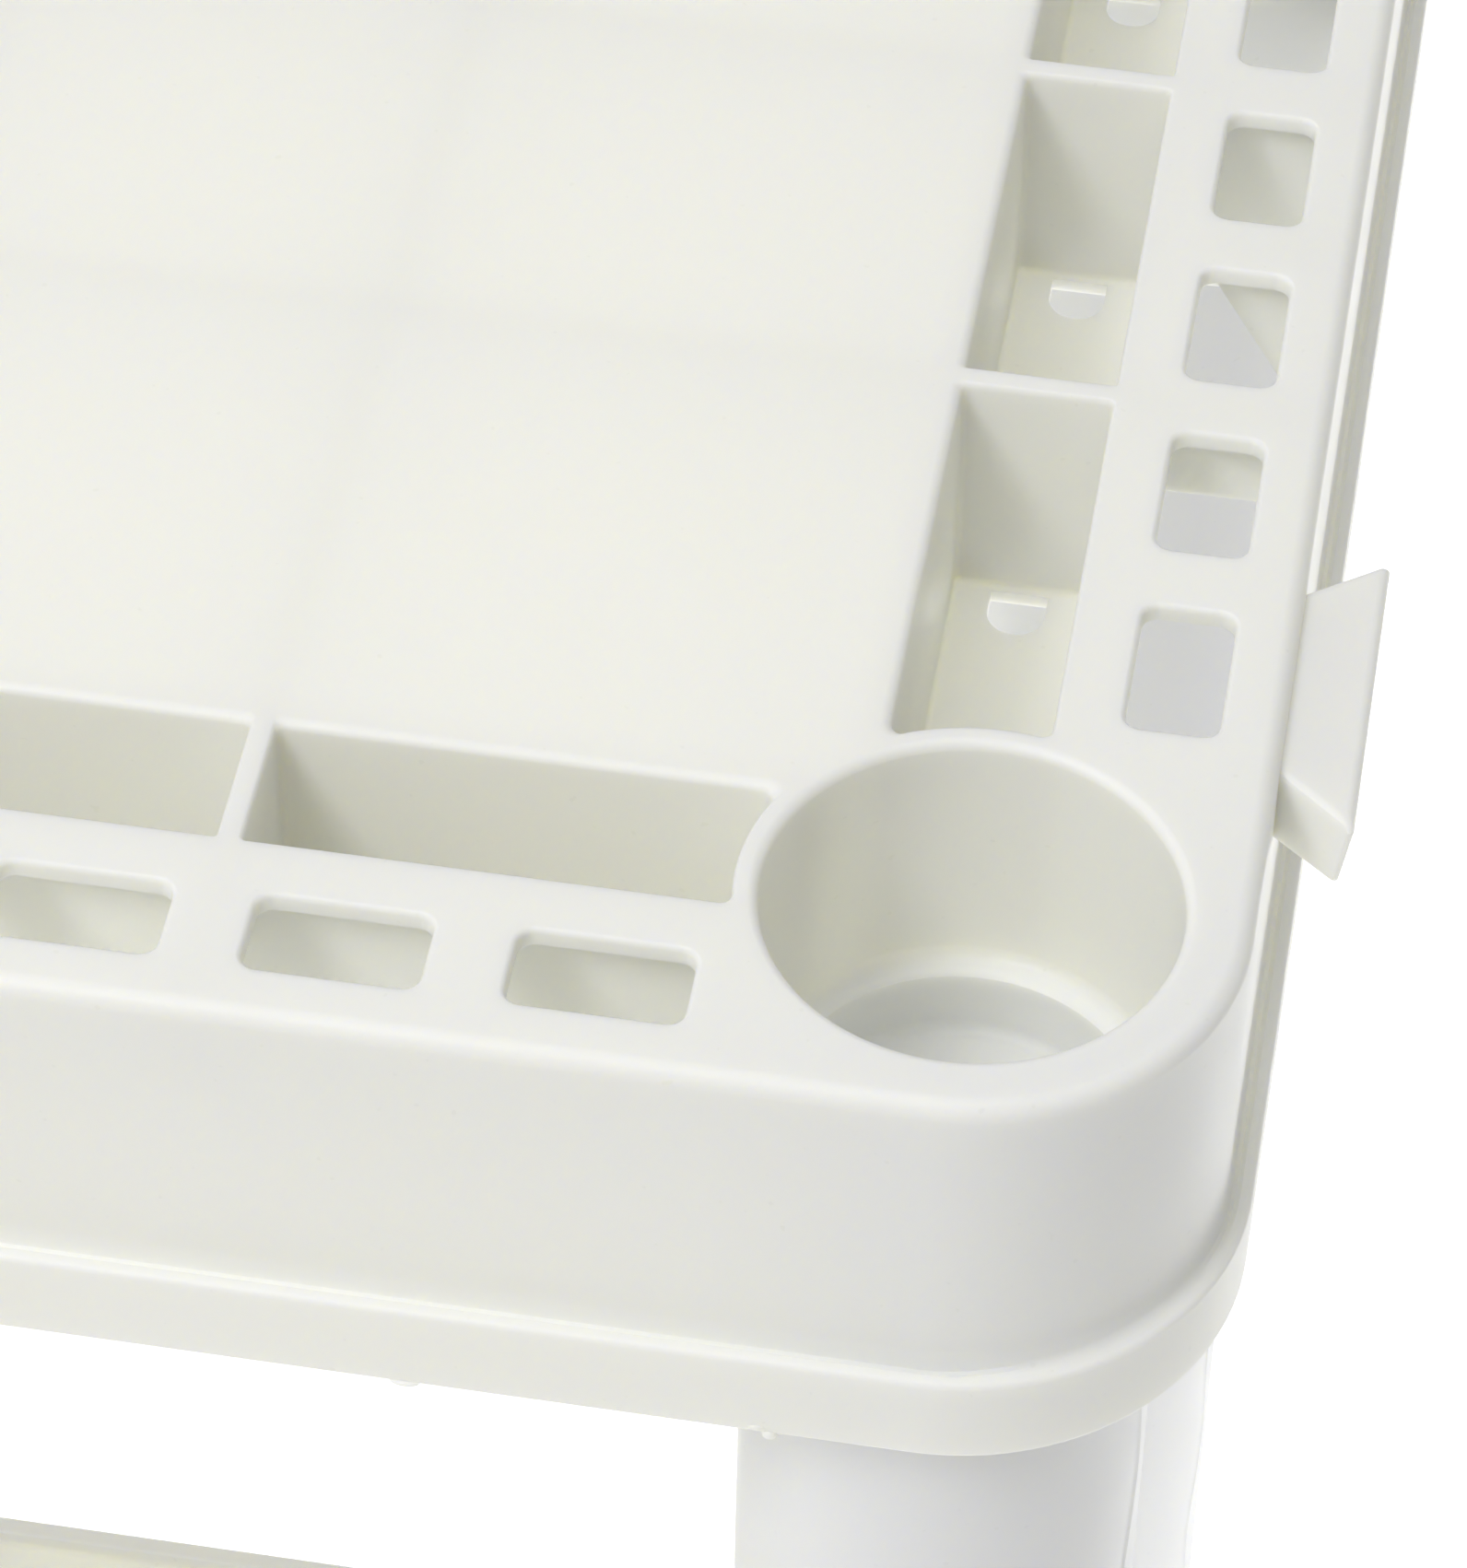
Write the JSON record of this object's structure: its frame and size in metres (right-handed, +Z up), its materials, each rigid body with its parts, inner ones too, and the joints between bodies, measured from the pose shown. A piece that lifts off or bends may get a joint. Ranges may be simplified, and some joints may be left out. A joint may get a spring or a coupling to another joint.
{
  "type": "rolling work cart",
  "caption": "Rolling plastic work cart: flush top ringed by supply bins, tool slots, cup holders and side hooks, on tube legs with a low shelf and swivel casters.",
  "frame": {"origin": "on the floor under the middle of the cart", "axes": "+X along the long side, +Y from front to rear, +Z up; the wheels roll along X at rest"},
  "size_m": [0.8116, 0.4992, 0.914],
  "materials": {
    "shelf_plastic": "satin moulded off-white",
    "leg_plastic": "satin moulded off-white",
    "socket_plastic": "dull black nylon",
    "zinc_plate": "bright zinc plate",
    "hub_plastic": "grey moulded",
    "grey_rubber": "non-marking rubber",
    "pedal_plastic": "ribbed black nylon"
  },
  "bodies": {
    "cart_frame": {"top_shelf": "shelf_plastic", "lower_shelf": "shelf_plastic", "leg_front_left": "leg_plastic", "leg_front_right": "leg_plastic", "leg_rear_left": "leg_plastic", "leg_rear_right": "leg_plastic", "stem_socket_front_left": "socket_plastic", "stem_socket_front_right": "socket_plastic", "stem_socket_rear_left": "socket_plastic", "stem_socket_rear_right": "socket_plastic", "stem_front_left": "zinc_plate", "stem_front_right": "zinc_plate", "stem_rear_left": "zinc_plate", "stem_rear_right": "zinc_plate"},
    "caster_front_left": {"fork_front_left": "zinc_plate", "axle_front_left": "zinc_plate", "axle_nut_front_left": "zinc_plate"},
    "wheel_front_left": {"wheel_hub_front_left": "hub_plastic", "tread_front_left": "grey_rubber"},
    "caster_front_right": {"fork_front_right": "zinc_plate", "axle_front_right": "zinc_plate", "axle_nut_front_right": "zinc_plate"},
    "wheel_front_right": {"wheel_hub_front_right": "hub_plastic", "tread_front_right": "grey_rubber"},
    "pedal_front_right": {"brake_pedal_front_right": "pedal_plastic"},
    "caster_rear_left": {"fork_rear_left": "zinc_plate", "axle_rear_left": "zinc_plate", "axle_nut_rear_left": "zinc_plate"},
    "wheel_rear_left": {"wheel_hub_rear_left": "hub_plastic", "tread_rear_left": "grey_rubber"},
    "caster_rear_right": {"fork_rear_right": "zinc_plate", "axle_rear_right": "zinc_plate", "axle_nut_rear_right": "zinc_plate"},
    "wheel_rear_right": {"wheel_hub_rear_right": "hub_plastic", "tread_rear_right": "grey_rubber"},
    "pedal_rear_right": {"brake_pedal_rear_right": "pedal_plastic"}
  },
  "joints": [
    {"name": "swivel_front_left", "type": "hinge", "parent": "cart_frame", "child": "caster_front_left", "pos_m": [-0.3373, -0.1916, 0.082], "axis": [0, 0, 1], "continuous": true},
    {"name": "roll_front_left", "type": "hinge", "parent": "caster_front_left", "child": "wheel_front_left", "pos_m": [-0.3653, -0.1916, 0.0375], "axis": [0, 1, 0], "continuous": true},
    {"name": "swivel_front_right", "type": "hinge", "parent": "cart_frame", "child": "caster_front_right", "pos_m": [0.3373, -0.1916, 0.082], "axis": [0, 0, 1], "continuous": true},
    {"name": "roll_front_right", "type": "hinge", "parent": "caster_front_right", "child": "wheel_front_right", "pos_m": [0.3093, -0.1916, 0.0375], "axis": [0, 1, 0], "continuous": true},
    {"name": "brake_front_right", "type": "hinge", "parent": "caster_front_right", "child": "pedal_front_right", "pos_m": [0.2873, -0.1916, 0.076], "axis": [0, -1, 0], "range_deg": [0, 12]},
    {"name": "swivel_rear_left", "type": "hinge", "parent": "cart_frame", "child": "caster_rear_left", "pos_m": [-0.3373, 0.1916, 0.082], "axis": [0, 0, 1], "continuous": true},
    {"name": "roll_rear_left", "type": "hinge", "parent": "caster_rear_left", "child": "wheel_rear_left", "pos_m": [-0.3653, 0.1916, 0.0375], "axis": [0, 1, 0], "continuous": true},
    {"name": "swivel_rear_right", "type": "hinge", "parent": "cart_frame", "child": "caster_rear_right", "pos_m": [0.3373, 0.1916, 0.082], "axis": [0, 0, 1], "continuous": true},
    {"name": "roll_rear_right", "type": "hinge", "parent": "caster_rear_right", "child": "wheel_rear_right", "pos_m": [0.3093, 0.1916, 0.0375], "axis": [0, 1, 0], "continuous": true},
    {"name": "brake_rear_right", "type": "hinge", "parent": "caster_rear_right", "child": "pedal_rear_right", "pos_m": [0.2873, 0.1916, 0.076], "axis": [0, -1, 0], "range_deg": [0, 12]}
  ]
}
